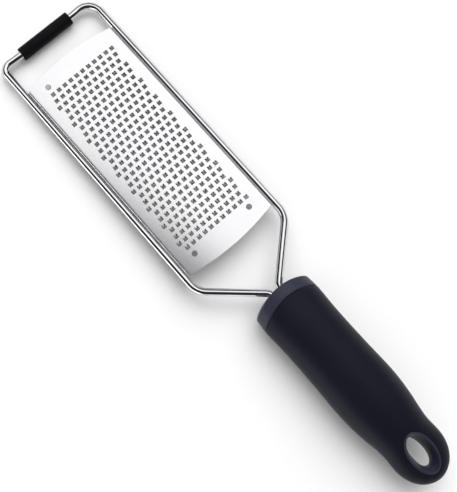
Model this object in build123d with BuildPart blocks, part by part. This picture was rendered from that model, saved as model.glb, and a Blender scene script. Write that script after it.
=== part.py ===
from build123d import *
import math
import os

# A hand grater: a bent round wire holds an arched, toothed sheet, with a soft foot
# on the wire's far end and a fat two-material handle on the near end.
# Millimetres. X runs across, +Y towards the foot, +Z up. The object lies at rest on
# the plane Z = 0, on its foot and on the underside of its handle, so the wire's plane
# is tilted a little. "Reach" means a distance along the wire's plane, forward from
# the front of the handle, "rise" a height above that plane, "drop" a depth under it.

# wire
wire_diameter = 4.0
frame_width = 62.4
frame_length = 189.1
shoulder_reach = 27.1
neck_reach = 1.5
neck_gap = 1.8
shoulder_bend_radius = 12.0
neck_bend_radius = 5.0
left_corner_radius = 5.0
right_corner_radius = 9.0
wire_anchor_length = 42.0
wire_fit = 0.05

# toothed sheet
sheet_thickness = 0.5
sheet_start_reach = 35.9
sheet_side_length = 132.3
sheet_end_bulge = 3.1
sheet_crown_rise = 3.0
sheet_edge_rise = 2.0
sheet_edge_bend_radius = 1.6
sheet_lip_drop = 1.2

# teeth and round holes in the sheet
tooth_pitch = 4.1
tooth_rows = 28
tooth_columns = 11
tooth_hole_size = 2.4
tooth_field_shift = 0.9
tooth_stagger_shares = (0.0, 0.19, 0.5)
tooth_width = 1.5
tooth_length = 1.05
tooth_rise = 0.55
tooth_root = 0.15
tooth_seat = 0.05
tooth_thickness = 0.3
round_hole_diameter = 3.3
round_hole_spacing = 38.0
round_hole_reach = 5.0

# foot
foot_width = 7.5
foot_length = 33.4
foot_wire_rise = 4.6
foot_side_shift = -1.2
foot_edge_radius = 0.9

# handle outside
handle_length = 123.8
handle_width = 36.2
handle_height = 29.2
handle_front_radius = 32.0
handle_front_edge_radius = 0.7
collar_length = 6.0

# handle inside and its hanging hole
spine_width = 19.0
spine_height = 13.0
liner_center_reach = 107.0
liner_width = 15.1
liner_length = 24.6
throat_width = 10.0
throat_length = 18.6
throat_flare_width = 14.0
throat_flare_length = 22.8
throat_flare_rise = 14.0

# one overrun for every cut
overrun = 2.0

# Outline of the handle, front to rear: share of the handle's length, share of its
# width, share of its height, and how far its middle lies under the wire's plane as a
# share of its height.
handle_section_shares = (
    (0.000, 0.950, 0.845, 0.000),
    (0.040, 0.968, 0.862, 0.000),
    (0.093, 0.998, 0.886, 0.000),
    (0.222, 0.968, 0.935, 0.000),
    (0.384, 0.972, 0.985, 0.004),
    (0.545, 0.997, 1.000, 0.010),
    (0.610, 0.978, 0.975, 0.014),
    (0.674, 0.930, 0.930, 0.018),
    (0.739, 0.857, 0.862, 0.022),
    (0.788, 0.823, 0.790, 0.025),
    (0.836, 0.836, 0.703, 0.029),
    (0.868, 0.833, 0.640, 0.032),
    (0.901, 0.792, 0.570, 0.036),
    (0.933, 0.705, 0.486, 0.042),
    (0.965, 0.543, 0.375, 0.049),
    (0.985, 0.360, 0.260, 0.055),
    (0.996, 0.180, 0.140, 0.060),
)

# derived from the sizes above
wire_radius = wire_diameter / 2
sheet_width = frame_width - wire_diameter
sheet_middle_reach = sheet_start_reach + sheet_side_length / 2
sheet_arch_rise = sheet_crown_rise - sheet_edge_rise
sheet_arch_radius = ((sheet_width / 2) ** 2 + sheet_arch_rise**2) / (2 * sheet_arch_rise)
neck_half_spacing = (wire_diameter + neck_gap) / 2
foot_reach = frame_length


def tilt_on(share, height_share, sink_share):
    """Angle of the wire's plane when the foot and this handle section touch the floor."""
    depth = handle_height * (height_share / 2 + sink_share)
    run = foot_reach + share * handle_length
    return math.atan2(depth, run) - math.asin(foot_wire_rise / math.hypot(run, depth))


rest_tilt = max(tilt_on(share, height, sink) for share, _, height, sink in handle_section_shares)
front_end = (foot_reach * math.cos(rest_tilt)) + foot_width / 2
rear_sink = handle_section_shares[-1][3] * handle_height
rear_end = handle_length * math.cos(rest_tilt) + rear_sink * math.sin(rest_tilt)
wire_plane = Plane(
    origin=(0, (rear_end - front_end) / 2, foot_wire_rise + foot_reach * math.sin(rest_tilt)),
    x_dir=(1, 0, 0),
    z_dir=(0, math.sin(rest_tilt), math.cos(rest_tilt)),
)


def across(reach):
    """Plane square to the frame's length, with its Y along the wire plane's normal."""
    return Plane(
        origin=wire_plane.from_local_coords((0, reach, 0)),
        x_dir=wire_plane.x_dir,
        z_dir=-wire_plane.y_dir,
    )


def arch_rise(x):
    """Height of the sheet's top face above the wire's plane, x from the middle."""
    return sheet_crown_rise - sheet_arch_radius + math.sqrt(sheet_arch_radius**2 - x**2)


# wire frame: one length of round wire, both ends side by side inside the handle
half_frame = frame_width / 2
with BuildLine(wire_plane) as wire_path:
    FilletPolyline(
        (neck_half_spacing, -wire_anchor_length),
        (neck_half_spacing, neck_reach),
        (half_frame, shoulder_reach),
        (half_frame, frame_length),
        (-half_frame, frame_length),
        (-half_frame, shoulder_reach),
        (-neck_half_spacing, neck_reach),
        (-neck_half_spacing, -wire_anchor_length),
        radius=[
            neck_bend_radius,
            shoulder_bend_radius,
            right_corner_radius,
            left_corner_radius,
            shoulder_bend_radius,
            neck_bend_radius,
        ],
    )
wire_start = Plane(origin=wire_path.line @ 0, z_dir=wire_path.line % 0)

with BuildPart() as wire_frame:
    with BuildSketch(wire_start):
        Circle(wire_radius)
    sweep(path=wire_path.line)

# one tooth: a short strip bent up into the hole, its root inside the hole's far wall
tooth_slope = (tooth_rise + tooth_seat) / tooth_length
tooth_start = tooth_hole_size / 2
with BuildPart(mode=Mode.PRIVATE) as tooth:
    with BuildSketch(Plane.YZ):
        with BuildLine():
            Polyline(
                (tooth_start + tooth_root, -tooth_seat - tooth_root * tooth_slope),
                (tooth_start - tooth_length, tooth_rise),
                (tooth_start - tooth_length, tooth_rise - tooth_thickness),
                (
                    tooth_start + tooth_root,
                    -tooth_seat - tooth_root * tooth_slope - tooth_thickness,
                ),
                close=True,
            )
        make_face()
    extrude(amount=tooth_width / 2, both=True)

# places of the teeth, on the sheet's top face
field_middle_reach = sheet_middle_reach + tooth_field_shift
stagger_mean_share = sum(tooth_stagger_shares) / len(tooth_stagger_shares)
first_row_reach = field_middle_reach + tooth_pitch * (tooth_rows - 1) / 2
last_row_reach = field_middle_reach - tooth_pitch * (tooth_rows - 1) / 2
tooth_places = []
for row in range(tooth_rows):
    stagger = stagger_mean_share - tooth_stagger_shares[row % len(tooth_stagger_shares)]
    for column in range(tooth_columns):
        x = tooth_pitch * (column - (tooth_columns - 1) / 2 + stagger)
        tooth_places.append((x, first_row_reach - row * tooth_pitch, arch_rise(x)))

# places of the round holes: two near the handle, one at the left of the far end
round_hole_places = [
    (-round_hole_spacing / 2, last_row_reach - round_hole_reach),
    (round_hole_spacing / 2, last_row_reach - round_hole_reach),
    (-round_hole_spacing / 2, first_row_reach + round_hole_reach),
]

# toothed sheet: an arch with both long edges bent down against the wire
sheet_lip_height = sheet_edge_rise + sheet_lip_drop
sheet_end_reach = sheet_start_reach + sheet_side_length
with BuildPart() as grating_sheet:
    with BuildSketch(across(sheet_middle_reach)) as sheet_section:
        with BuildLine():
            ThreePointArc(
                (-sheet_width / 2, sheet_edge_rise),
                (0, sheet_crown_rise),
                (sheet_width / 2, sheet_edge_rise),
            )
            Polyline(
                (sheet_width / 2, sheet_edge_rise),
                (sheet_width / 2, -sheet_lip_drop),
                (-sheet_width / 2, -sheet_lip_drop),
                (-sheet_width / 2, sheet_edge_rise),
            )
        make_face()
        fillet(sheet_section.vertices().group_by(Axis.Z)[-1], sheet_edge_bend_radius)
        offset(amount=-sheet_thickness, mode=Mode.SUBTRACT)
        with Locations((0, -sheet_lip_drop)):
            Rectangle(
                sheet_width - 2 * sheet_thickness,
                2 * sheet_thickness,
                mode=Mode.SUBTRACT,
            )
    extrude(amount=sheet_side_length / 2 + sheet_end_bulge + overrun, both=True)
    with BuildSketch(wire_plane):
        with BuildLine():
            ThreePointArc(
                (-sheet_width / 2, sheet_end_reach),
                (0, sheet_end_reach + sheet_end_bulge),
                (sheet_width / 2, sheet_end_reach),
            )
            Line((sheet_width / 2, sheet_end_reach), (sheet_width / 2, sheet_start_reach))
            ThreePointArc(
                (sheet_width / 2, sheet_start_reach),
                (0, sheet_start_reach - sheet_end_bulge),
                (-sheet_width / 2, sheet_start_reach),
            )
            Line((-sheet_width / 2, sheet_start_reach), (-sheet_width / 2, sheet_end_reach))
        make_face()
    extrude(amount=sheet_lip_height + overrun, both=True, mode=Mode.INTERSECT)
    with BuildSketch(wire_plane):
        with Locations(*[(x, reach) for x, reach, rise in tooth_places]):
            Rectangle(tooth_hole_size, tooth_hole_size)
        with Locations(*round_hole_places):
            Circle(round_hole_diameter / 2)
    extrude(amount=sheet_crown_rise + overrun, mode=Mode.SUBTRACT)
    add([wire_plane.location * Pos(*place) * tooth.part for place in tooth_places])

# foot: a sleeve on the wire's far run, cut flat where it stands
foot_middle = wire_plane.from_local_coords((foot_side_shift, foot_reach, 0))
with BuildPart() as foot_sleeve:
    with BuildSketch(Plane(origin=foot_middle, x_dir=(0, 1, 0), z_dir=(1, 0, 0))) as foot_section:
        Circle(foot_width / 2)
        Rectangle(foot_width, foot_wire_rise, align=(Align.CENTER, Align.MAX))
        fillet(foot_section.vertices().group_by(Axis.Z)[0], foot_edge_radius)
        Circle(wire_radius + wire_fit, mode=Mode.SUBTRACT)
    extrude(amount=foot_length / 2, both=True)

# outside of the whole handle
with BuildPart() as handle_shape:
    for share, width_share, height_share, sink_share in handle_section_shares:
        reach = overrun if share == 0 else -share * handle_length
        with BuildSketch(across(reach)):
            with Locations((0, -sink_share * handle_height)):
                Ellipse(width_share * handle_width / 2, height_share * handle_height / 2)
    loft()


def behind_front(setback):
    """Plan of everything behind the handle's round front, moved back by setback."""
    half_span = handle_width / 2 + overrun
    sagitta = handle_front_radius - math.sqrt(handle_front_radius**2 - half_span**2)
    rear = -handle_length - overrun
    with BuildSketch(wire_plane) as plan:
        with BuildLine():
            ThreePointArc(
                (-half_span, -setback - sagitta),
                (0, -setback),
                (half_span, -setback - sagitta),
            )
            Polyline(
                (half_span, -setback - sagitta),
                (half_span, rear),
                (-half_span, rear),
                (-half_span, -setback - sagitta),
            )
        make_face()
    return plan.sketch


# oval liner of the hanging hole, flush with the handle's skin
with BuildPart() as hang_liner:
    add(handle_shape.part)
    with BuildSketch(wire_plane):
        with Locations((0, -liner_center_reach)):
            Ellipse(liner_width / 2, liner_length / 2)
    extrude(amount=handle_height, both=True, mode=Mode.INTERSECT)

with BuildPart() as throat:
    with BuildSketch(wire_plane):
        with Locations((0, -liner_center_reach)):
            Ellipse(throat_width / 2, throat_length / 2)
    extrude(amount=handle_height, both=True)
    with BuildSketch(wire_plane):
        with Locations((0, -liner_center_reach)):
            Ellipse(throat_width / 2, throat_length / 2)
    with BuildSketch(wire_plane.offset(throat_flare_rise)):
        with Locations((0, -liner_center_reach)):
            Ellipse(throat_flare_width / 2, throat_flare_length / 2)
    loft()

# spine that joins the collar to the liner inside the grip
spine_setback = collar_length / 2
with BuildPart() as spine:
    with BuildSketch(across(-spine_setback)):
        Rectangle(spine_width, spine_height)
    extrude(amount=liner_center_reach - spine_setback)

# hard core of the handle: collar, spine and liner in one moulding
with BuildPart() as handle_core:
    add(handle_shape.part)
    extrude(behind_front(0), amount=handle_height, both=True, mode=Mode.INTERSECT)
    extrude(behind_front(collar_length), amount=handle_height, both=True, mode=Mode.SUBTRACT)
    add(spine.part)
    add(hang_liner.part)
    add(throat.part, mode=Mode.SUBTRACT)
    with BuildSketch(wire_start):
        Circle(wire_radius + wire_fit)
    sweep(path=wire_path.line, mode=Mode.SUBTRACT)
    fillet(
        handle_core.faces().sort_by(Axis.Y)[-1].outer_wire().edges(),
        handle_front_edge_radius,
    )

# soft grip moulded over the core
with BuildPart() as handle_grip:
    add(handle_shape.part)
    extrude(behind_front(collar_length), amount=handle_height, both=True, mode=Mode.INTERSECT)
    add(hang_liner.part, mode=Mode.SUBTRACT)
    add(spine.part, mode=Mode.SUBTRACT)
    add(throat.part, mode=Mode.SUBTRACT)

os.makedirs("parts", exist_ok=True)

wire_frame.part.label = "wire_frame"
export_step(wire_frame.part, "parts/wire_frame.step")

grating_sheet.part.label = "grating_sheet"
export_step(grating_sheet.part, "parts/grating_sheet.step")

foot_sleeve.part.label = "foot_sleeve"
export_step(foot_sleeve.part, "parts/foot_sleeve.step")

handle_core.part.label = "handle_core"
export_step(handle_core.part, "parts/handle_core.step")

handle_grip.part.label = "handle_grip"
export_step(handle_grip.part, "parts/handle_grip.step")
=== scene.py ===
import math

import bmesh
import bpy
import numpy as np
from mathutils import Matrix, Vector


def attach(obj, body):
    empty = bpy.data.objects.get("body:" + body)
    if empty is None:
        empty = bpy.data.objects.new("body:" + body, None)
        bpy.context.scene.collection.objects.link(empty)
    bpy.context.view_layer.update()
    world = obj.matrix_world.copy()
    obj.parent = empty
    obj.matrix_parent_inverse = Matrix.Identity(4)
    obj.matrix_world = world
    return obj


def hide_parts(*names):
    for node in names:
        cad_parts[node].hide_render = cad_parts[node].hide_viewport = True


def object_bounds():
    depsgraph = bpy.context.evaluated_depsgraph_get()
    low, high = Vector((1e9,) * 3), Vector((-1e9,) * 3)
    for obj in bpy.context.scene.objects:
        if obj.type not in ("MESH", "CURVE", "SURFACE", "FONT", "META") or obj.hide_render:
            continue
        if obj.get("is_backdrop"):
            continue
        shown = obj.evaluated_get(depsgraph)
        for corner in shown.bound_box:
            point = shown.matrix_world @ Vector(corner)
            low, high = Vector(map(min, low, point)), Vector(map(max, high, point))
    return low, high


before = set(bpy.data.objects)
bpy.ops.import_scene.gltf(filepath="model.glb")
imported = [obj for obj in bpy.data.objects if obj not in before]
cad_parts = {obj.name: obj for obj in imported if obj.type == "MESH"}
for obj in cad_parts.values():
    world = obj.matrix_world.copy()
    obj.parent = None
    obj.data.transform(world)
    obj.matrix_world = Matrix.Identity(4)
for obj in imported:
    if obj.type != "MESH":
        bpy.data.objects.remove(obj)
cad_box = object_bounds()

# A hand grater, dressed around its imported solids. Lengths are in millimetres in the
# wire's own plane (x across, y forward from the handle's front, z up out of the plane)
# until a piece is finished. Then its mesh is put in its place, in metres.

MM = 0.001
REST_TILT = math.radians(2.394)
PLANE_ORIGIN = (0.0, -34.4599, 12.4993)
IN_PLACE = (
    Matrix.Scale(MM, 4)
    @ Matrix.Translation(PLANE_ORIGIN)
    @ Matrix.Rotation(-REST_TILT, 4, "X")
)

# wire
WIRE_DIAMETER = 4.0
WIRE_SIDES = 40
WIRE_BEND_STEPS = 18
WIRE_END = -42.0
NECK_HALF_GAP = 2.9
NECK_BEND = 1.5
FRAME_HALF_WIDTH = 31.2
SHOULDER = 27.1
FAR_RUN = 188.5
FAR_BEND = 19.5
WIRE_CORNERS = (  # x, y and bend radius, from one end of the wire to the other
    (NECK_HALF_GAP, WIRE_END, 0.0),
    (NECK_HALF_GAP, NECK_BEND, 5.0),
    (FRAME_HALF_WIDTH, SHOULDER, 12.0),
    (FRAME_HALF_WIDTH, FAR_RUN + 1.0, 8.5),
    (FAR_BEND, FAR_RUN, 24.0),
    (-FAR_BEND, FAR_RUN, 24.0),
    (-FRAME_HALF_WIDTH, FAR_RUN + 0.6, 5.0),
    (-FRAME_HALF_WIDTH, SHOULDER, 12.0),
    (-NECK_HALF_GAP, NECK_BEND, 5.0),
    (-NECK_HALF_GAP, WIRE_END, 0.0),
)

# toothed sheet
SHEET_THICKNESS = 0.5
SHEET_HALF_WIDTH = 29.2
SHEET_START = 35.9
SHEET_END = 168.2
SHEET_END_BULGE = 3.1
SHEET_CROWN = 3.0
SHEET_EDGE_RISE = 2.0
SHEET_BEND_RADIUS = 1.0
SHEET_LIP_DROP = 1.2
BEND_GRID, LIP_GRID, SIDE_GRID, END_GRID = 0.24, 0.6, 0.8, 0.6  # sizes of its faces
END_ROWS = 5  # rows of faces between the punched part and each bulging end
TOOTH_PITCH = 4.1
TOOTH_ROWS = 28
TOOTH_COLUMNS = 11
HOLE_SIZE = 2.4
FIRST_ROW = 158.3
LAST_ROW = FIRST_ROW - (TOOTH_ROWS - 1) * TOOTH_PITCH
STAGGERS = (0.23, 0.04, -0.27)  # shares of the pitch, row by row
ROUND_HOLE_RADIUS = 1.65
ROUND_HOLE_GRID = 1.2 * ROUND_HOLE_RADIUS  # from a round hole's middle to the plain grid
ROUND_HOLE_X = 19.0
NEAR_HOLES, FAR_HOLE = LAST_ROW - 5.0, FIRST_ROW + 5.0
ROUND_HOLES = (
    (-ROUND_HOLE_X, NEAR_HOLES),
    (ROUND_HOLE_X, NEAR_HOLES),
    (-ROUND_HOLE_X, FAR_HOLE),
)
ROUND_HOLE_MARGIN = 3.2  # from a round hole's middle to the bulging end

# foot
FOOT_LENGTH = 33.4
FOOT_SHIFT = -1.2
FOOT_RADIUS = 3.75
FOOT_RISE = 4.6
FOOT_BORE = WIRE_DIAMETER / 2 + 0.05
SOLE_HALF_WIDTH = 2.5
SOLE_CORNER = 0.9

# handle
HANDLE_LENGTH = 123.8
HANDLE_WIDTH = 36.2
HANDLE_HEIGHT = 29.2
FRONT_RADIUS = 32.0
COLLAR_LENGTH = 6.0
COLLAR_GROOVE = 0.35
# Shares of the length, the width and the height, and how far the middle sinks, as a
# share of the height.
HANDLE_SECTIONS = (
    (0.000, 0.950, 0.845, 0.000),
    (0.040, 0.968, 0.862, 0.000),
    (0.093, 0.998, 0.886, 0.000),
    (0.222, 0.968, 0.935, 0.000),
    (0.384, 0.972, 0.985, 0.004),
    (0.545, 0.997, 1.000, 0.010),
    (0.610, 0.978, 0.975, 0.014),
    (0.674, 0.930, 0.930, 0.018),
    (0.739, 0.857, 0.862, 0.022),
    (0.788, 0.823, 0.790, 0.025),
    (0.836, 0.836, 0.703, 0.029),
    (0.868, 0.833, 0.640, 0.032),
    (0.901, 0.792, 0.570, 0.036),
    (0.933, 0.705, 0.486, 0.042),
    (0.965, 0.543, 0.375, 0.049),
    (0.985, 0.360, 0.260, 0.055),
    (0.996, 0.180, 0.140, 0.060),
    (1.000, 0.000, 0.000, 0.061),
)
HOLE_CENTER = -107.0
LINER_HALF_WIDTH = 7.55
LINER_HALF_LENGTH = 12.3
THROAT_HALF_WIDTH = 4.3
THROAT_HALF_LENGTH = 8.7
DISH_DEPTH = 0.35
DISH_REACH = 2.2


# ---- node trees ----
class Recipe:
    """Adds nodes to one tree. A value is a number, a vector or another node's socket."""

    def __init__(self, tree):
        self.tree = tree

    def feed(self, socket, value):
        if isinstance(value, bpy.types.NodeSocket):
            self.tree.links.new(value, socket)
        else:
            socket.default_value = value

    def node(self, kind, feeds=None, **settings):
        made = self.tree.nodes.new(kind)
        for name, value in settings.items():
            setattr(made, name, value)
        for key, value in (feeds or {}).items():
            self.feed(made.inputs[key], value)
        return made

    def math(self, operation, a, b=0.0, c=0.0):
        kind = "ShaderNodeMath"
        return self.node(kind, {0: a, 1: b, 2: c}, operation=operation).outputs[0]

    def vector(self, x=0.0, y=0.0, z=0.0):
        return self.node("ShaderNodeCombineXYZ", {"X": x, "Y": y, "Z": z}).outputs[0]

    def parts(self, vector):
        return self.node("ShaderNodeSeparateXYZ", {0: vector}).outputs


def new_group(name, kind, inputs, outputs):
    """A node group with named sockets: {name: (kind, default)} and {name: kind}."""
    tree = bpy.data.node_groups.new(name, kind)
    new_socket = tree.interface.new_socket
    for label, (socket_kind, default) in inputs.items():
        socket = new_socket(name=label, in_out="INPUT", socket_type=socket_kind)
        if default is not None:
            socket.default_value = default
    for label, socket_kind in outputs.items():
        new_socket(name=label, in_out="OUTPUT", socket_type=socket_kind)
    recipe = Recipe(tree)
    given = recipe.node("NodeGroupInput").outputs
    return recipe, given, recipe.node("NodeGroupOutput").inputs


FLOAT, GEOMETRY, VECTOR = "NodeSocketFloat", "NodeSocketGeometry", "NodeSocketVector"
INTEGER, MATERIAL, COLOR = "NodeSocketInt", "NodeSocketMaterial", "NodeSocketColor"


# ---- shared surface effects ----
def make_grain_group():
    """Fine relief that follows a stretched noise: grinding and drawing marks."""
    make, given, out = new_group(
        "surface_grain",
        "ShaderNodeTree",
        {
            "Vector": (VECTOR, None),
            "Stretch": (VECTOR, (1.0, 1.0, 1.0)),
            "Scale": (FLOAT, 1.0),
            "Depth": (FLOAT, 0.00001),
            "Low": (FLOAT, 0.1),
            "High": (FLOAT, 0.2),
        },
        {"Roughness": FLOAT, "Normal": VECTOR},
    )
    stretched = make.node(
        "ShaderNodeVectorMath",
        {0: given["Vector"], 1: given["Stretch"]},
        operation="MULTIPLY",
    ).outputs[0]
    noise = make.node(
        "ShaderNodeTexNoise",
        {"Vector": stretched, "Scale": given["Scale"], "Detail": 4.0, "Roughness": 0.6},
    ).outputs[0]
    span = make.math("SUBTRACT", given["High"], given["Low"])
    make.feed(out["Roughness"], make.math("MULTIPLY_ADD", noise, span, given["Low"]))
    bump = make.node("ShaderNodeBump", {"Distance": given["Depth"], "Height": noise})
    make.feed(out["Normal"], bump.outputs[0])
    return make.tree


def make_tint_group():
    """Slow change of tone over a surface, with fine dust or polish specks on top."""
    make, given, out = new_group(
        "uneven_tint",
        "ShaderNodeTree",
        {
            "Vector": (VECTOR, None),
            "Light": (COLOR, (0.5, 0.5, 0.5, 1.0)),
            "Dark": (COLOR, (0.4, 0.4, 0.4, 1.0)),
            "Cloud Scale": (FLOAT, 40.0),
            "Speck Scale": (FLOAT, 2500.0),
            "Specks": (FLOAT, 0.2),
        },
        {"Color": COLOR},
    )
    clouds = make.node(
        "ShaderNodeTexNoise",
        {"Vector": given["Vector"], "Scale": given["Cloud Scale"], "Detail": 3.0},
    ).outputs[0]
    specks = make.node(
        "ShaderNodeTexNoise",
        {"Vector": given["Vector"], "Scale": given["Speck Scale"], "Detail": 1.0},
    ).outputs[0]
    mask = make.math(
        "MULTIPLY_ADD", make.math("SUBTRACT", specks, 0.5), given["Specks"], clouds
    )
    mask = make.node(
        "ShaderNodeMapRange", {"Value": mask, "From Min": 0.3, "From Max": 0.7}
    ).outputs[0]
    mix = make.node(  # sockets 0, 6 and 7 are its factor and its two colours
        "ShaderNodeMix", {0: mask, 6: given["Dark"], 7: given["Light"]}, data_type="RGBA"
    )
    make.feed(out["Color"], mix.outputs[2])
    return make.tree


GRAIN = make_grain_group()
TINT = make_tint_group()


def new_material(name, tint, grain, grain_attribute=None, **shader):
    """A principled material with an uneven tint and a fine relief. The relief follows the
    object, or an attribute of the mesh."""
    material = bpy.data.materials.new(name)
    material.use_nodes = True
    make = Recipe(material.node_tree)
    principled = material.node_tree.nodes["Principled BSDF"]
    here = make.node("ShaderNodeTexCoord").outputs["Object"]
    grain_place = here
    if grain_attribute:
        kept = make.node("ShaderNodeAttribute", attribute_name=grain_attribute)
        grain_place = kept.outputs["Vector"]
    tones = make.node("ShaderNodeGroup", node_tree=TINT)
    marks = make.node("ShaderNodeGroup", node_tree=GRAIN)
    make.feed(tones.inputs["Vector"], here)
    make.feed(marks.inputs["Vector"], grain_place)
    for node, values in ((tones, tint), (marks, grain)):
        for label, value in values.items():
            node.inputs[label].default_value = value
    make.feed(principled.inputs["Base Color"], tones.outputs["Color"])
    make.feed(principled.inputs["Roughness"], marks.outputs["Roughness"])
    make.feed(principled.inputs["Normal"], marks.outputs["Normal"])
    for label, value in shader.items():
        principled.inputs[label.replace("_", " ")].default_value = value
    return material


def grey(level, blue=1.0):
    """A grey, with its blue raised a little for the cool tone of steel."""
    return (level, level, level * blue, 1.0)


drawn_wire = new_material(
    "drawn_wire",
    {
        "Light": grey(0.88, 1.02),
        "Dark": grey(0.80, 1.03),
        "Cloud Scale": 90.0,
        "Specks": 0.1,
    },
    {
        "Stretch": (0.02, 1.0, 1.0),
        "Scale": 3.0,
        "Depth": 0.000004,
        "Low": 0.04,
        "High": 0.10,
    },
    grain_attribute="grain_place",
    Metallic=1.0,
    Specular_Tint=(0.10, 0.10, 0.12, 1.0),  # painted shade: a dark edge tint darkens the wire's reflections where it turns away
)
satin_sheet = new_material(
    "satin_sheet",
    {
        "Light": grey(0.90, 1.01),
        "Dark": grey(0.86, 1.03),
        "Cloud Scale": 30.0,
        "Specks": 0.25,
    },
    {
        "Stretch": (1.0, 0.06, 1.0),
        "Scale": 3500.0,
        "Depth": 0.000006,
        "Low": 0.14,
        "High": 0.24,
    },
    Metallic=0.84,
)
# painted shade: the sheet's cut walls, in its holes and round its edges, get a dark grey
# that stands in for the shade inside the holes
cut_edge_painted_shade = new_material(
    "cut_edge_painted_shade",
    {"Light": grey(0.36), "Dark": grey(0.26), "Cloud Scale": 800.0, "Specks": 0.5},
    {"Scale": 6000.0, "Depth": 0.00001, "Low": 0.35, "High": 0.55},
    Metallic=1.0,
)
ground_tooth = new_material(
    "ground_tooth",
    {"Light": grey(0.80), "Dark": grey(0.70), "Cloud Scale": 300.0, "Specks": 0.3},
    {
        "Stretch": (1.0, 0.1, 1.0),
        "Scale": 5000.0,
        "Depth": 0.000004,
        "Low": 0.20,
        "High": 0.32,
    },
    Metallic=1.0,
)
foot_rubber = new_material(
    "foot_rubber",
    {
        "Light": (0.006, 0.006, 0.007, 1),
        "Dark": (0.004, 0.004, 0.005, 1),
        "Cloud Scale": 200.0,
    },
    {"Scale": 2600.0, "Depth": 0.00004, "Low": 0.5, "High": 0.7},
    Specular_IOR_Level=0.12,
)
grip_rubber = new_material(
    "grip_rubber",
    {
        "Light": (0.0088, 0.0088, 0.0155, 1),
        "Dark": (0.0070, 0.0070, 0.0126, 1),
        "Cloud Scale": 45.0,
    },
    {"Scale": 2200.0, "Depth": 0.00002, "Low": 0.42, "High": 0.56},
    Specular_IOR_Level=0.2,
    Specular_Tint=(0.76, 0.76, 1.0, 1.0),
)
slate_plastic = new_material(
    "slate_plastic",
    {
        "Light": (0.030, 0.032, 0.054, 1),
        "Dark": (0.025, 0.027, 0.046, 1),
        "Cloud Scale": 70.0,
    },
    {"Scale": 3000.0, "Depth": 0.000012, "Low": 0.36, "High": 0.50},
    Specular_IOR_Level=0.3,
)


# ---- making and placing pieces ----
def new_mesh_object(name, points, faces, materials=(), edges=()):
    """A new object in the scene, with a mesh of the given points and faces."""
    mesh = bpy.data.meshes.new(name)
    points = [tuple(map(float, p)) for p in points]
    faces = [tuple(map(int, f)) for f in faces]
    mesh.from_pydata(points, list(edges), faces)
    mesh.validate()
    made = bpy.data.objects.new(name, mesh)
    bpy.context.scene.collection.objects.link(made)
    for material in materials:
        mesh.materials.append(material)
    return made


def finish_mesh(made, sharp_angle=50.0, place=IN_PLACE):
    """Turns what the modifiers give into a plain mesh, in its place and smooth."""
    dependencies = bpy.context.evaluated_depsgraph_get()
    mesh = bpy.data.meshes.new_from_object(
        made.evaluated_get(dependencies),
        preserve_all_data_layers=True,
        depsgraph=dependencies,
    )
    made.modifiers.clear()
    made.data = mesh
    mesh.name = made.name
    mesh.transform(place)
    mesh.polygons.foreach_set("use_smooth", [True] * len(mesh.polygons))
    mesh.set_sharp_from_angle(angle=math.radians(sharp_angle))
    mesh.update()
    return made


def on_body(made, slot, *nodes):
    """Puts a piece on the body, and hides the nodes that it replaces. The slot is not used.
    """
    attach(made, "root")
    if nodes:
        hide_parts(*nodes)
    return made


def give_inputs(made, tree, values):
    """Puts a geometry node tree on a piece, with its inputs set by identifier."""
    modifier = made.modifiers.new(tree.name, "NODES")
    modifier.node_group = tree
    for item in tree.interface.items_tree:
        if item.in_out == "INPUT" and item.name in values:
            modifier[item.identifier] = values[item.name]


def end_tree(make, given, out, geometry):
    """Ends a geometry node tree with real geometry in the given material."""
    real = make.node("GeometryNodeRealizeInstances", {0: geometry}).outputs[0]
    painted = make.node(
        "GeometryNodeSetMaterial", {"Geometry": real, "Material": given["Material"]}
    )
    make.feed(out["Geometry"], painted.outputs[0])
    return make.tree


def close_rings(faces, rings):
    """Quads between rings of point numbers, each ring closed on itself."""
    for low, high in zip(rings, rings[1:]):
        for k in range(len(low)):
            n = (k + 1) % len(low)
            faces.append((low[k], low[n], high[n], high[k]))


# ---- wire ----
def make_wire_tree():
    """Rounds the corners of a bent line and draws a round wire along it."""
    make, given, out = new_group(
        "bend_wire",
        "GeometryNodeTree",
        {
            "Geometry": (GEOMETRY, None),
            "Diameter": (FLOAT, WIRE_DIAMETER),
            "Sides": (INTEGER, WIRE_SIDES),
            "Bend Steps": (INTEGER, WIRE_BEND_STEPS),
            "Material": (MATERIAL, None),
        },
        {"Geometry": GEOMETRY},
    )

    def captured(kind, name, curve, value):
        """A curve that keeps a value, and the kept value."""
        kept = make.node("GeometryNodeCaptureAttribute")
        kept.capture_items.new(kind, name)
        make.feed(kept.inputs[0], curve)
        make.feed(kept.inputs[1], value)
        return kept.outputs[0], kept.outputs[1]

    line = make.node("GeometryNodeMeshToCurve", {"Mesh": given["Geometry"]}).outputs[0]
    radius = make.node("GeometryNodeInputNamedAttribute", {"Name": "bend_radius"})
    bent = make.node(
        "GeometryNodeFilletCurve",
        {"Curve": line, "Radius": radius.outputs[0], "Count": given["Bend Steps"]},
        mode="POLY",
    ).outputs[0]
    length = make.node("GeometryNodeSplineParameter").outputs["Length"]
    path, path_length = captured("FLOAT", "length", bent, length)
    ring_radius = make.math("MULTIPLY", given["Diameter"], 0.5)
    ring = make.node(
        "GeometryNodeCurvePrimitiveCircle",
        {"Resolution": given["Sides"], "Radius": ring_radius},
    ).outputs[0]
    ring_place = make.node("GeometryNodeInputPosition").outputs[0]
    around, around_place = captured("VECTOR", "ring", ring, ring_place)
    tube = make.node(
        "GeometryNodeCurveToMesh",
        {"Curve": path, "Profile Curve": around, "Fill Caps": True},
    ).outputs[0]
    ring_x, ring_y, _ = make.parts(around_place)
    kept = make.node(
        "GeometryNodeStoreNamedAttribute",
        {
            "Geometry": tube,
            "Name": "grain_place",
            "Value": make.vector(path_length, ring_x, ring_y),
        },
        data_type="FLOAT_VECTOR",
        domain="POINT",
    )
    return end_tree(make, given, out, kept.outputs[0])


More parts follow.
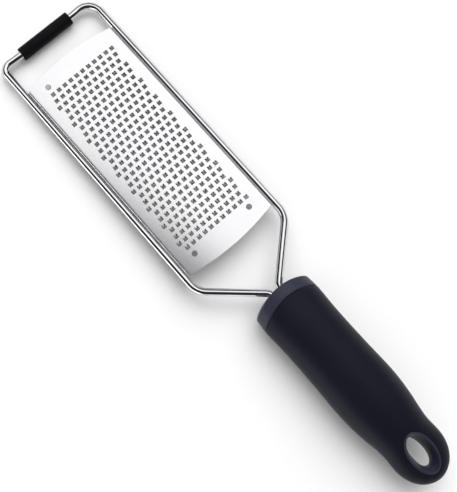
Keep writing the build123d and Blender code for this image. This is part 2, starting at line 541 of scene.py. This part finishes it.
wire_line = new_mesh_object(
    "steel_wire",
    [(x, y, 0.0) for x, y, bend in WIRE_CORNERS],
    [],
    edges=[(i, i + 1) for i in range(len(WIRE_CORNERS) - 1)],
)
bends = wire_line.data.attributes.new("bend_radius", "FLOAT", "POINT")
bends.data.foreach_set("value", [bend for x, y, bend in WIRE_CORNERS])
give_inputs(wire_line, make_wire_tree(), {"Material": drawn_wire})
on_body(finish_mesh(wire_line, 60.0), "wire_steel", "wire_frame")


# ---- toothed sheet ----
ARCH_RISE = SHEET_CROWN - SHEET_EDGE_RISE
ARCH_RADIUS = (SHEET_HALF_WIDTH**2 + ARCH_RISE**2) / (2 * ARCH_RISE)
BEND_START_ANGLE = math.asin(
    (SHEET_HALF_WIDTH - SHEET_BEND_RADIUS) / (ARCH_RADIUS - SHEET_BEND_RADIUS)
)
ARCH_HALF_SPAN = ARCH_RADIUS * BEND_START_ANGLE
BEND_SPAN = (math.pi / 2 - BEND_START_ANGLE) * SHEET_BEND_RADIUS
BEND_CENTER_Z = (
    SHEET_CROWN
    - ARCH_RADIUS
    + (ARCH_RADIUS - SHEET_BEND_RADIUS) * math.cos(BEND_START_ANGLE)
)
LIP_SPAN = BEND_CENTER_Z + SHEET_LIP_DROP
FLAT_HALF_WIDTH = ARCH_HALF_SPAN + BEND_SPAN + LIP_SPAN


def sheet_x(across):
    """Where a place on the flat sheet ends up sideways, once the sheet is arched."""
    arch = min(abs(across), ARCH_HALF_SPAN)
    bend = min(max(abs(across) - ARCH_HALF_SPAN, 0.0), BEND_SPAN)
    angle = arch / ARCH_RADIUS + bend / SHEET_BEND_RADIUS
    x = ARCH_RADIUS * math.sin(arch / ARCH_RADIUS)
    x += SHEET_BEND_RADIUS * (math.sin(angle) - math.sin(arch / ARCH_RADIUS))
    return math.copysign(x, across)


def add_arch_nodes(make, across, radius, crown):
    """x, z and slope of a place on the flat sheet, once it is arched and its edges bent."""
    size = make.math("ABSOLUTE", across)
    side = make.math("SIGN", across)
    arch = make.math("MINIMUM", size, ARCH_HALF_SPAN)
    bend = make.math(
        "MINIMUM",
        make.math("MAXIMUM", make.math("SUBTRACT", size, ARCH_HALF_SPAN), 0.0),
        BEND_SPAN,
    )
    lip = make.math("MAXIMUM", make.math("SUBTRACT", size, ARCH_HALF_SPAN + BEND_SPAN), 0.0)
    arch_angle = make.math("DIVIDE", arch, radius)
    angle = make.math("MULTIPLY_ADD", bend, 1 / SHEET_BEND_RADIUS, arch_angle)
    sine = make.math("SINE", arch_angle)
    cosine = make.math("COSINE", arch_angle)
    x = make.math("MULTIPLY", sine, radius)
    turn = make.math("SUBTRACT", make.math("SINE", angle), sine)
    x = make.math("MULTIPLY_ADD", turn, SHEET_BEND_RADIUS, x)
    z = make.math("MULTIPLY_ADD", make.math("SUBTRACT", cosine, 1.0), radius, crown)
    fall = make.math("SUBTRACT", make.math("COSINE", angle), cosine)
    z = make.math("MULTIPLY_ADD", fall, SHEET_BEND_RADIUS, z)
    z = make.math("SUBTRACT", z, lip)
    return make.math("MULTIPLY", x, side), z, make.math("MULTIPLY", angle, side)


def add_stagger_nodes(make, row, given):
    """The sideways shift of a row, which repeats every three rows."""
    turn = make.math("FLOORED_MODULO", row, float(len(STAGGERS)))
    shift = 0.0
    for k in range(len(STAGGERS)):
        chosen = make.math("COMPARE", turn, float(k), 0.5)
        shift = make.math("MULTIPLY_ADD", chosen, given[f"Stagger {k + 1}"], shift)
    return shift


PATTERN_INPUTS = {
    "Pitch": (FLOAT, TOOTH_PITCH),
    "Rows": (INTEGER, TOOTH_ROWS),
    "Columns": (INTEGER, TOOTH_COLUMNS),
    "First Row": (FLOAT, FIRST_ROW),
    **{f"Stagger {k + 1}": (FLOAT, share) for k, share in enumerate(STAGGERS)},
    "Arch Radius": (FLOAT, ARCH_RADIUS),
    "Crown": (FLOAT, SHEET_CROWN),
}


def make_sheet_tree():
    """Punches square holes in staggered rows into a flat sheet and arches it."""
    make, given, out = new_group(
        "punch_and_arch",
        "GeometryNodeTree",
        {
            "Geometry": (GEOMETRY, None),
            "Hole Size": (FLOAT, HOLE_SIZE),
            "Material": (MATERIAL, None),
            **PATTERN_INPUTS,
        },
        {"Geometry": GEOMETRY},
    )
    place = make.parts(make.node("GeometryNodeInputPosition").outputs[0])
    pitch = given["Pitch"]
    from_first = make.math("SUBTRACT", given["First Row"], place[1])
    row_place = make.math("DIVIDE", from_first, pitch)
    row = make.math("ROUND", row_place)
    column_place = make.math(
        "SUBTRACT",
        make.math(
            "MULTIPLY_ADD",
            make.math("SUBTRACT", given["Columns"], 1.0),
            0.5,
            make.math("DIVIDE", place[0], pitch),
        ),
        add_stagger_nodes(make, row, given),
    )
    column = make.math("ROUND", column_place)
    half_share = make.math("DIVIDE", make.math("MULTIPLY", given["Hole Size"], 0.5), pitch)
    inside = None
    for spot, index, count in (
        (row_place, row, given["Rows"]),
        (column_place, column, given["Columns"]),
    ):
        away = make.math("ABSOLUTE", make.math("SUBTRACT", spot, index))
        for test in (
            make.math("LESS_THAN", away, half_share),
            make.math("GREATER_THAN", index, -0.5),
            make.math("LESS_THAN", index, make.math("SUBTRACT", count, 0.5)),
        ):
            inside = test if inside is None else make.math("MULTIPLY", inside, test)
    punched = make.node(
        "GeometryNodeDeleteGeometry",
        {"Geometry": given["Geometry"], "Selection": inside},
        domain="FACE",
    )
    x, z, angle = add_arch_nodes(make, place[0], given["Arch Radius"], given["Crown"])
    arched = make.node(
        "GeometryNodeSetPosition",
        {"Geometry": punched.outputs[0], "Position": make.vector(x, place[1], z)},
    )
    return end_tree(make, given, out, arched.outputs[0])


def make_teeth_tree():
    """Stands one tooth at the far side of every hole, leaning with the arch."""
    make, given, out = new_group(
        "stand_teeth",
        "GeometryNodeTree",
        {"Geometry": (GEOMETRY, None), "Material": (MATERIAL, None), **PATTERN_INPUTS},
        {"Geometry": GEOMETRY},
    )
    index = make.node("GeometryNodeInputIndex").outputs[0]
    columns, pitch = given["Columns"], given["Pitch"]
    row = make.math("FLOOR", make.math("DIVIDE", make.math("ADD", index, 0.5), columns))
    column = make.math("SUBTRACT", index, make.math("MULTIPLY", row, columns))
    middle = make.math("MULTIPLY", make.math("SUBTRACT", columns, 1.0), 0.5)
    column = make.math("SUBTRACT", column, middle)
    column = make.math("ADD", column, add_stagger_nodes(make, row, given))
    across = make.math("MULTIPLY", column, pitch)
    y = make.math("SUBTRACT", given["First Row"], make.math("MULTIPLY", row, pitch))
    x, z, angle = add_arch_nodes(make, across, given["Arch Radius"], given["Crown"])
    count = make.math("MULTIPLY", given["Rows"], columns)
    points = make.node(
        "GeometryNodePoints", {"Count": count, "Position": make.vector(x, y, z)}
    ).outputs[0]
    stood = make.node(
        "GeometryNodeInstanceOnPoints",
        {
            "Points": points,
            "Instance": given["Geometry"],
            "Rotation": make.vector(0.0, angle, 0.0),
        },
    ).outputs[0]
    return end_tree(make, given, out, stood)


def spread(start, stop, step):
    """Evenly spaced places from start up to, but not at, stop."""
    count = max(1, round((stop - start) / step))
    return [start + (stop - start) * i / count for i in range(count)]


def oval_edge(x, y, center_x, center_y, radius_x, radius_y):
    """The point of an oval's edge that lies in the direction of a given point."""
    dx, dy = (x - center_x) / radius_x, (y - center_y) / radius_y
    reach = math.hypot(dx, dy)
    return center_x + radius_x * dx / reach, center_y + radius_y * dy / reach


def grid_with_holes(lines_x, lines_y, holes, rings):
    """Flat grid with holes, each given as a box (x0, x1, y0, y1) and a function that
    sends a point to the hole's edge. Rings are shares of the way from the box to the
    edge. Gives points, faces and each hole's edge loop."""
    points = [(x, y) for y in lines_y for x in lines_x]
    wide = len(lines_x)
    taken, faces, loops = set(), [], []
    for (x0, x1, y0, y1), to_edge in holes:
        i0 = max(i for i, x in enumerate(lines_x) if x < x0)
        i1 = min(i for i, x in enumerate(lines_x) if x > x1)
        j0 = max(j for j, y in enumerate(lines_y) if y < y0)
        j1 = min(j for j, y in enumerate(lines_y) if y > y1)
        around = [(i, j0) for i in range(i0, i1)]
        around += [(i1, j) for j in range(j0, j1)]
        around += [(i, j1) for i in range(i1, i0, -1)]
        around += [(i0, j) for j in range(j1, j0, -1)]
        outer = [j * wide + i for i, j in around]
        perimeter = [points[k] for k in outer]
        edges = [to_edge(*p) for p in perimeter]
        for share in rings:
            inner = list(range(len(points), len(points) + len(outer)))
            points.extend(
                tuple(p[i] + (e[i] - p[i]) * share for i in (0, 1))
                for p, e in zip(perimeter, edges)
            )
            close_rings(faces, [outer, inner])
            outer = inner
        loops.append(outer)
        taken.update((i, j) for i in range(i0, i1) for j in range(j0, j1))
    for j in range(len(lines_y) - 1):
        for i in range(wide - 1):
            if (i, j) not in taken:
                a = j * wide + i
                faces.append((a, a + 1, a + wide + 1, a + wide))
    return points, faces, loops


def sheet_lines():
    """Grid lines of the flat sheet: both edges of every hole, and enough for the bends."""
    lines_x = set()
    for stagger in STAGGERS:
        for column in range(TOOTH_COLUMNS):
            x = TOOTH_PITCH * (column - (TOOTH_COLUMNS - 1) / 2 + stagger)
            lines_x.update((round(x - HOLE_SIZE / 2, 4), round(x + HOLE_SIZE / 2, 4)))
    low, high = min(lines_x), max(lines_x)
    bend_end = ARCH_HALF_SPAN + BEND_SPAN
    sides = spread(ARCH_HALF_SPAN, bend_end, BEND_GRID)
    sides += spread(bend_end, FLAT_HALF_WIDTH, LIP_GRID) + [FLAT_HALF_WIDTH]
    lines_x.update(spread(-ARCH_HALF_SPAN, low, SIDE_GRID))
    lines_x.update(spread(high, ARCH_HALF_SPAN, SIDE_GRID))
    lines_x.update(sides)
    lines_x.update(-x for x in sides)
    lines_y = []
    for row in range(TOOTH_ROWS - 1, -1, -1):
        y = FIRST_ROW - row * TOOTH_PITCH
        lines_y += [y - HOLE_SIZE / 2, y, y + HOLE_SIZE / 2]
    start, stop = NEAR_HOLES - ROUND_HOLE_MARGIN, FAR_HOLE + ROUND_HOLE_MARGIN
    near = spread(start, LAST_ROW - HOLE_SIZE / 2, END_GRID)
    far = spread(FIRST_ROW + HOLE_SIZE / 2, stop, END_GRID)[1:] + [stop]
    return sorted(lines_x), near + lines_y + far


def make_sheet():
    """The arched sheet: a flat grid with round holes and bulging ends, which is then
    punched, arched and given its thickness."""
    lines_x, lines_y = sheet_lines()
    near, far = lines_y[0], lines_y[-1]
    before = [near - END_ROWS + i for i in range(END_ROWS)]
    lines_y = before + lines_y + [far + 1 + i for i in range(END_ROWS)]
    holes = []
    for cx, cy in ROUND_HOLES:

        def to_edge(x, y, cx=cx, cy=cy):
            return oval_edge(x, y, cx, cy, ROUND_HOLE_RADIUS, ROUND_HOLE_RADIUS)

        reach = ROUND_HOLE_GRID
        holes.append(((cx - reach, cx + reach, cy - reach, cy + reach), to_edge))
    points, faces, _ = grid_with_holes(lines_x, lines_y, holes, (0.5, 1.0))
    placed = []
    for x, y in points:
        share = (sheet_x(x) / SHEET_HALF_WIDTH) ** 2
        if y < near:
            edge = SHEET_START - SHEET_END_BULGE * (1 - share)
            y = near + (edge - near) * (near - y) / END_ROWS
        elif y > far:
            edge = SHEET_END + SHEET_END_BULGE * (1 - share)
            y = far + (edge - far) * (y - far) / END_ROWS
        placed.append((x, y, 0.0))
    sheet = new_mesh_object("toothed_sheet", placed, faces, (satin_sheet, cut_edge_painted_shade))
    give_inputs(sheet, make_sheet_tree(), {"Material": satin_sheet})
    wall = sheet.modifiers.new("thickness", "SOLIDIFY")
    wall.thickness = SHEET_THICKNESS
    wall.offset = -1.0
    wall.use_even_offset = True
    # the cut walls take the second material, the dark grey of painted shade
    wall.material_offset_rim = 1
    return finish_mesh(sheet, 40.0)


def make_tooth_mesh():
    """One tooth: a short ridge pressed up from the hole's far side, with a sharp lip."""
    far = HOLE_SIZE / 2
    edge_width, edge_drop = 0.06, 0.04
    # distance from the hole's middle, top, thickness, half widths above and below
    profile = (
        (far + 0.12, -0.02, 0.40, 0.52, 0.90),
        (far - 0.02, 0.00, 0.45, 0.50, 0.95),
        (far - 0.35, 0.08, 0.50, 0.48, 0.95),
        (far - 0.70, 0.16, 0.50, 0.48, 0.95),
        (far - 0.95, 0.25, 0.45, 0.55, 0.98),
        (far - 1.10, 0.36, 0.35, 0.94, 0.98),
        (far - 1.45, 0.66, 0.05, 0.94, 0.94),
    )
    points, faces = [], []
    for y, top, thickness, half, base in profile:
        right = (
            (half - edge_width, top),
            (half, top - edge_drop),
            (base, top - thickness),
        )
        points += [(-x, y, z) for x, z in right[::-1]] + [(x, y, z) for x, z in right]
    count = len(points) // len(profile)
    rings = [range(k * count, (k + 1) * count) for k in range(len(profile))]
    close_rings(faces, rings)
    faces += [tuple(rings[0][::-1]), tuple(rings[-1])]
    return points, faces


sheet = make_sheet()
on_body(sheet, "sheet_steel", "grating_sheet")
teeth = new_mesh_object("cutting_teeth", *make_tooth_mesh())
give_inputs(teeth, make_teeth_tree(), {"Material": ground_tooth})
on_body(finish_mesh(teeth), "sheet_steel")


# ---- foot ----
def make_foot():
    """A thick sleeve, round above and narrowing to a flat sole, with the wire's bore."""
    round_steps, corner_steps, turn_down = 24, 6, math.radians(28)
    outline = [
        (FOOT_RADIUS * math.cos(turn), FOOT_RADIUS * math.sin(turn))
        for turn in np.linspace(-turn_down, math.pi + turn_down, round_steps + 1)
    ]
    corner = []
    for i in range(corner_steps + 1):
        turn = math.pi / 2 * i / corner_steps
        a = SOLE_HALF_WIDTH - SOLE_CORNER + SOLE_CORNER * math.cos(turn)
        corner.append((a, -FOOT_RISE + SOLE_CORNER - SOLE_CORNER * math.sin(turn)))
    outline += [(-a, b) for a, b in corner] + corner[::-1]
    lean = Vector((math.cos(REST_TILT), -math.sin(REST_TILT)))
    y, z = Vector(PLANE_ORIGIN).yz + lean * FAR_RUN
    points, rings = [], []
    for x in (FOOT_SHIFT - FOOT_LENGTH / 2, FOOT_SHIFT + FOOT_LENGTH / 2):
        for bored in (False, True):
            rings.append(range(len(points), len(points) + len(outline)))
            for a, b in outline:
                size = math.hypot(a, b) / FOOT_BORE if bored else 1.0
                points.append((x, y + a / size, z + b / size))
    faces = []
    near, near_bore, far, far_bore = rings
    close_rings(faces, [near, far, far_bore, near_bore, near])
    foot = new_mesh_object("rubber_foot", points, faces, [foot_rubber])
    edge = foot.modifiers.new("rounded_ends", "BEVEL")
    edge.width, edge.segments = 0.4, 3
    edge.limit_method, edge.angle_limit = "ANGLE", 1.2
    finish_mesh(foot, place=Matrix.Scale(MM, 4))
    return on_body(foot, "foot_rubber", "foot_sleeve")


make_foot()


# ---- handle ----
PROFILE_STEPS = 40
MERGE_DISTANCE = 0.0005
AROUND = 112
TURNS = [2 * math.pi * k / AROUND for k in range(AROUND)]


def handle_profile():
    """Rows of (y, half width, half height, middle's z) along the handle, finely spaced,
    from the front to the rear, where the outline turns square to the length. A spline
    goes through the sections, with knots spaced by the square root of their distance."""
    size = (-HANDLE_LENGTH, HANDLE_WIDTH / 2, HANDLE_HEIGHT / 2, -HANDLE_HEIGHT)
    rows = [tuple(a * b for a, b in zip(section, size)) for section in HANDLE_SECTIONS]
    rows.insert(0, tuple(2 * a - b for a, b in zip(rows[0], rows[1])))
    y, w, h, middle = rows[-2]
    rows.append((y, -w, -h, middle))
    rows = np.array(rows)
    knots = [0.0]
    for a, b in zip(rows, rows[1:]):
        knots.append(knots[-1] + math.hypot(*(b - a)[:2]) ** 0.5)
    fine = []
    for k in range(1, len(rows) - 2):
        p, t = rows[k - 1 : k + 3], knots[k - 1 : k + 3]
        for at in np.linspace(t[1], t[2], PROFILE_STEPS, endpoint=k == len(rows) - 3):
            level = list(p)
            for gap in (1, 2):
                level = [
                    ((t[i + gap] - at) * level[i] + (at - t[i]) * level[i + 1])
                    / (t[i + gap] - t[i])
                    for i in range(4 - gap)
                ]
            share = (at - t[1]) / (t[2] - t[1])
            fine.append(level[0] * (1 - share) + level[1] * share)
    return np.array(fine)


PROFILE = handle_profile()
STEP_LENGTHS = np.hypot(*np.diff(PROFILE[:, :2], axis=0).T)
ALONG = np.concatenate([[0.0], np.cumsum(STEP_LENGTHS)])  # outline length from the front
FADE_START, FADE_END = -COLLAR_LENGTH, -50.0


def along_at(y):
    return float(np.interp(-y, -PROFILE[:, 0], ALONG))


def section_at(along):
    return [np.interp(along, ALONG, PROFILE[:, k]) for k in range(4)]


def section_at_y(y):
    return [np.interp(-y, -PROFILE[:, 0], PROFILE[:, k]) for k in range(4)]


def front_curve(x, y):
    """How far the round front moves a section back at x. It fades out down the handle."""
    sag = FRONT_RADIUS - math.sqrt(FRONT_RADIUS**2 - x * x)
    fade = min(max((y - FADE_END) / (FADE_START - FADE_END), 0.0), 1.0)
    return sag * fade * fade * (3 - 2 * fade)


def skin(angle, along, inset=0.0, shrink=1.0):
    """A point of the handle's skin, from the angle round it and the outline's length. The
    inset moves it in, and shrink draws it towards the middle. Where the round front moves
    it back, the section is that of its new place, which three rounds find."""
    y0, w, h, middle = section_at(along)
    y0 -= min(along, 0.0)
    y = y0
    for _ in range(3):
        x = (w - inset) * shrink * math.cos(angle)
        shift = front_curve(x, y0)
        if shift > 0:
            y = y0 - shift
            _, w, h, middle = section_at_y(y)
    return x, y, middle + (h - inset) * shrink * math.sin(angle)


def skin_rise(x, y, side):
    """Height of the handle's top (side 1) or bottom (side -1) over a place in plan."""
    _, w, h, middle = section_at_y(y)
    return middle + side * h * math.sqrt(max(0.0, 1 - (x / w) ** 2))


def hang_oval(x, y, grow=0.0):
    """The point of the liner's outline in the direction of a place in plan."""
    radii = LINER_HALF_WIDTH + grow, LINER_HALF_LENGTH + grow
    return oval_edge(x, y, 0.0, HOLE_CENTER, *radii)


def dish(x, y):
    """The grip sinks a little towards the hanging hole."""
    edge_x, edge_y = hang_oval(x, y)
    away = math.hypot(x - edge_x, y - edge_y)
    return DISH_DEPTH * math.exp(-((away / DISH_REACH) ** 2))


def merge_and_turn_out(made):
    """Merges doubles and points every face outwards."""
    work = bmesh.new()
    work.from_mesh(made.data)
    bmesh.ops.remove_doubles(work, verts=work.verts, dist=MERGE_DISTANCE)
    bmesh.ops.recalc_face_normals(work, faces=work.faces)
    work.to_mesh(made.data)
    work.free()
    return made


def dished(angle, along):
    """A point of the grip's skin, with the dish round the hanging hole."""
    x, y, z = skin(angle, along)
    if abs(y - HOLE_CENTER) < 2 * LINER_HALF_LENGTH:
        z -= math.sin(angle) * dish(x, y)
    return x, y, z


def finish_shell(name, points, faces, material):
    """A closed body of rings, merged, turned outwards and put in its place."""
    return finish_mesh(merge_and_turn_out(new_mesh_object(name, points, faces, [material])))


def make_grip():
    """The soft body of the handle: a skin round the core, with the hanging hole's wall."""
    start, last = along_at(-COLLAR_LENGTH - COLLAR_GROOVE), ALONG[-1]
    alongs = spread(start, last - 0.5, 1.0) + [last - 0.5, last - 0.2, last - 0.06, last]
    holes = []
    half_turn, reach = math.radians(44), LINER_HALF_LENGTH + 1.2
    ends = along_at(HOLE_CENTER + reach), along_at(HOLE_CENTER - reach)
    for side in (1, -1):
        middle = math.pi - side * math.pi / 2

        def to_edge(angle, along, side=side, middle=middle):
            y, w, h, _ = section_at(along)
            edge_x, edge_y = hang_oval(w * math.cos(angle), y, 0.3)
            turn = math.asin(max(-1.0, min(1.0, edge_x / section_at_y(edge_y)[1])))
            return middle - side * turn, along_at(edge_y)

        holes.append(((middle - half_turn, middle + half_turn, *ends), to_edge))
    flat, faces, loops = grid_with_holes(
        TURNS + [2 * math.pi], alongs, holes, (0.3, 0.55, 0.75, 0.88, 0.95, 1.0)
    )
    points = [dished(*p) for p in flat]
    walls = []
    for side, loop in zip((1, -1), loops):
        for grow, sink in ((0.1, 0.08), (0.04, 0.4)):  # the rounded edge at the liner
            ring = []
            for k in loop:
                x, y = hang_oval(*points[k][:2], grow)
                ring.append(len(points))
                points.append((x, y, skin_rise(x, y, side) - side * (dish(x, y) + sink)))
            close_rings(faces, [loop, ring])
            loop = ring
        walls.append(loop)
    top, bottom = walls
    spots = np.array([points[k][:2] for k in bottom])
    matched = [
        bottom[int(np.argmin(np.hypot(*(spots - np.array(points[k][:2])).T)))] for k in top
    ]
    close_rings(faces, [top, matched])
    rings = [range(AROUND)]
    for back, inset, shrink in (  # the grip's front, closed behind the collar
        (0.2, 0.12, 1.0),
        (0.28, 0.5, 1.0),
        (0.28, 0.5, 0.5),
        (0.28, 0.5, 0.0),
    ):
        rings.append(range(len(points), len(points) + AROUND))
        points += [skin(turn, start - back, inset, shrink) for turn in TURNS]
    close_rings(faces, rings)
    return finish_shell("soft_grip", points, faces, grip_rubber)


def make_collar():
    """The hard front of the handle: a band with a softly rounded edge and a round front."""
    edge, edge_steps, end = 0.8, 8, along_at(-COLLAR_LENGTH)
    rows = [  # outline length, inset and shrink of each ring, from the closed rear
        (end, 0.6, 0.0),
        (end, 0.6, 0.5),
        (end, 0.6, 1.0),
        (end - 0.12, 0.45, 1.0),
        (end - 0.16, 0.14, 1.0),
    ]
    rows += [(end - back, 0.0, 1.0) for back in (0.34, 1.6, 3.0, 4.2)]
    for k in range(edge_steps + 1):
        turn = math.pi / 2 * k / edge_steps
        rows.append((-edge * math.sin(turn), edge * (1 - math.cos(turn)), 1.0))
    rows += [(-edge, edge, shrink) for shrink in (0.85, 0.7, 0.5, 0.3, 0.12, 0.0)]
    points, faces, rings = [], [], []
    for along, inset, shrink in rows:
        rings.append(range(len(points), len(points) + AROUND))
        points += [skin(turn, along, inset, shrink) for turn in TURNS]
    close_rings(faces, rings)
    return finish_shell("front_collar", points, faces, slate_plastic)


LINER_AROUND = 128
TOP_RIM = (  # inset and sink of each ring, from inside the grip over the raised rim
    (0.0, 3.0),
    (0.0, 0.25),
    (0.1, 0.05),
    (0.3, -0.08),
    (0.55, -0.12),
    (0.8, -0.06),
    (1.0, 0.12),
    (1.12, 0.4),
)
THROAT_RINGS = (  # share of the way down, growth and rise, down to the rounded lower edge
    (0.5, 0.0, 0.0),
    (1.0, 0.0, 1.0),
    (1.0, 0.1, 0.45),
    (1.0, 0.4, 0.1),
    (1.0, 0.8, 0.0),
)
BOTTOM_RIM = ((0.3, -0.02), (0.08, 0.06), (0.0, 0.3), (0.0, 3.0))


def make_liner():
    """The oval lining of the hanging hole: a raised rim, a wall that narrows downwards and
    a straight throat."""
    turns = [2 * math.pi * k / LINER_AROUND for k in range(LINER_AROUND)]

    def rim_ring(side, inset, sink):
        """A ring of the rim on the handle's top (side 1) or bottom (side -1)."""
        ring = []
        for turn in turns:
            x = (LINER_HALF_WIDTH - inset) * math.cos(turn)
            y = HOLE_CENTER + (LINER_HALF_LENGTH - inset) * math.sin(turn)
            edge = hang_oval(x, y)
            ring.append((x, y, skin_rise(*edge, side) - side * (dish(*edge) + sink)))
        return ring

    def throat_place(turn, grow=0.0):
        x = (THROAT_HALF_WIDTH + grow) * math.cos(turn)
        return x, HOLE_CENTER + (THROAT_HALF_LENGTH + grow) * math.sin(turn)

    rings = [rim_ring(1, *row) for row in TOP_RIM]
    top = rim_ring(1, 1.2, 0.9)
    for share in (0.0, 0.25, 0.5, 0.75, 1.0):
        shares = (share**0.8, share**0.8, share)  # the wall narrows fastest near the top
        ring = []
        for turn, high in zip(turns, top):
            throat = (*throat_place(turn), 0.0)
            ring.append(tuple(a + (b - a) * c for a, b, c in zip(high, throat, shares)))
        rings.append(ring)
    low = [z for _, _, z in rim_ring(-1, 2.0, 0.0)]
    for share, grow, rise in THROAT_RINGS:
        ends = zip(turns, low)
        rings.append([(*throat_place(turn, grow), z * share + rise) for turn, z in ends])
    rings += [rim_ring(-1, *row) for row in BOTTOM_RIM]
    points = [p for ring in rings for p in ring]
    faces = []
    numbers = [range(k * LINER_AROUND, (k + 1) * LINER_AROUND) for k in range(len(rings))]
    close_rings(faces, numbers + numbers[:1])
    return finish_shell("hang_liner", points, faces, slate_plastic)


on_body(make_grip(), "grip_rubber", "handle_grip")
on_body(make_collar(), "core_plastic", "handle_core")
on_body(make_liner(), "core_plastic")


# ---- floor, light and camera ----
FLOOR_REACH = 3.0
FLOOR_LEVEL = -0.00002
FLOOR_THROWN = 0.26  # the ground's tone for the light that it throws on the object


def make_floor():
    """White ground. It is white to the camera and in reflections, throws less light back
    than it shows, and keeps the object's shadow."""
    corners = ((-1, -1), (1, -1), (1, 1), (-1, 1))
    points = [(x * FLOOR_REACH, y * FLOOR_REACH, FLOOR_LEVEL) for x, y in corners]
    floor = new_mesh_object("studio_floor", points, [(0, 1, 2, 3)])
    paint = bpy.data.materials.new("white_ground")
    paint.use_nodes = True
    make = Recipe(paint.node_tree)
    shader = paint.node_tree.nodes["Principled BSDF"]
    shader.inputs["Roughness"].default_value = 0.9
    shader.inputs["Specular IOR Level"].default_value = 0.0
    path = make.node("ShaderNodeLightPath").outputs
    mirrored = make.math("MAXIMUM", path["Is Glossy Ray"], path["Is Transmission Ray"])
    direct = make.math("LESS_THAN", path["Diffuse Depth"], 0.5)
    mirrored = make.math("MULTIPLY", mirrored, direct)
    seen = make.math("MAXIMUM", path["Is Camera Ray"], mirrored)
    tone = make.math("MULTIPLY_ADD", seen, 1.0 - FLOOR_THROWN, FLOOR_THROWN)
    make.feed(shader.inputs["Base Color"], tone)
    floor.data.materials.append(paint)
    floor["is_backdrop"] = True


CEILING_LEVEL = 1.12
CEILING_HEIGHT = (0.3, 0.5)  # here and below: where a panel begins and where it is full
ACROSS, CEILING_LEFT, CEILING_RIGHT = (0.753, -0.658, 0.0), (-0.64, -0.46), (0.60, 0.48)
NEAR, CEILING_NEAR = (0.884, 0.556, 0.0), (0.045, 0.165)
AWAY, CEILING_FAR = (0.658, 0.753, 0.0), (0.72, 0.62)
LOW_LEFT_LEVEL = 3.2
LOW_LEFT_SIDE = (0.76, 0.88)
LOW_LEFT_TOP = (0.30, 0.18)
RIM_TOP = (0.15, 0.09)
STUDIO_DARK = 0.03


def make_world():
    """A dark studio with one wide ceiling panel, which metal shows as a bright streak, a
    bright low panel on the left, which the handle shows as a soft highlight, and a white
    rim at the horizon."""
    world = bpy.data.worlds.new("studio")
    bpy.context.scene.world = world
    world.use_nodes = True
    make = Recipe(world.node_tree)
    direction = make.node("ShaderNodeTexCoord").outputs["Generated"]

    def along(aim):
        return make.node(
            "ShaderNodeVectorMath",
            {0: direction, 1: Vector(aim).normalized()},
            operation="DOT_PRODUCT",
        ).outputs["Value"]

    def ramp(value, none, full, level=1.0):
        return make.node(
            "ShaderNodeMapRange",
            {"Value": value, "From Min": none, "From Max": full, "To Max": level},
            interpolation_type="SMOOTHSTEP",
        ).outputs[0]

    height, across = along((0.0, 0.0, 1.0)), along(ACROSS)
    ceiling = ramp(height, *CEILING_HEIGHT, CEILING_LEVEL)
    for value, span in (
        (across, CEILING_LEFT),
        (across, CEILING_RIGHT),
        (along(NEAR), CEILING_NEAR),
        (along(AWAY), CEILING_FAR),
    ):
        ceiling = make.math("MULTIPLY", ceiling, ramp(value, *span))
    low_left = make.math(
        "MULTIPLY",
        ramp(along((-1.0, 0.0, 0.0)), *LOW_LEFT_SIDE, LOW_LEFT_LEVEL),
        ramp(height, *LOW_LEFT_TOP),
    )
    rim = ramp(height, *RIM_TOP)
    glow = make.math("ADD", make.math("ADD", ceiling, low_left), STUDIO_DARK)
    background = world.node_tree.nodes["Background"]
    make.feed(background.inputs["Color"], grey(1.0))
    make.feed(background.inputs["Strength"], make.math("MAXIMUM", glow, rim))


def add_far_light(name, place, width, level):
    """A soft lamp far away, for the floor and the matt surfaces. Metal shows the world."""
    light = bpy.data.lights.new(name, "SUN")
    light.angle = math.radians(width)
    light.energy = level * math.pi
    made = bpy.data.objects.new(name, light)
    made.location = place
    made.visible_glossy = False
    made.rotation_euler = Vector(place).to_track_quat("Z", "Y").to_euler()
    bpy.context.scene.collection.objects.link(made)


FOCAL_PIXELS = 800  # with the frame's 492 pixels of height, the photograph's lens
FRAME_PIXELS = 492
SENSOR_SIZE = 36.0
CAMERA_SHIFT = (0.03618, -0.05178)
CAMERA_PLACE = (-0.059957, -0.024278, 0.426913)
CAMERA_TURNS = (9.45112, -2.46903, -41.16928)


def add_camera():
    """The photograph's view. The lens is set on the frame's longer side, its height."""
    data = bpy.data.cameras.new("camera")
    data.lens = FOCAL_PIXELS / FRAME_PIXELS * SENSOR_SIZE
    data.shift_x, data.shift_y = CAMERA_SHIFT
    made = bpy.data.objects.new("camera", data)
    made.location = CAMERA_PLACE
    made.rotation_euler = [math.radians(turn) for turn in CAMERA_TURNS]
    bpy.context.scene.collection.objects.link(made)
    bpy.context.scene.camera = made


make_floor()
make_world()
add_far_light("key_lamp", place=(0.48, 0.44, 0.58), width=68.0, level=0.60)
add_far_light("top_lamp", place=(0.0, 0.0, 1.0), width=110.0, level=0.35)
add_camera()
bpy.context.scene.view_settings.view_transform = "Standard"

[[list(corner) for corner in box] for box in (cad_box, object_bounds())]
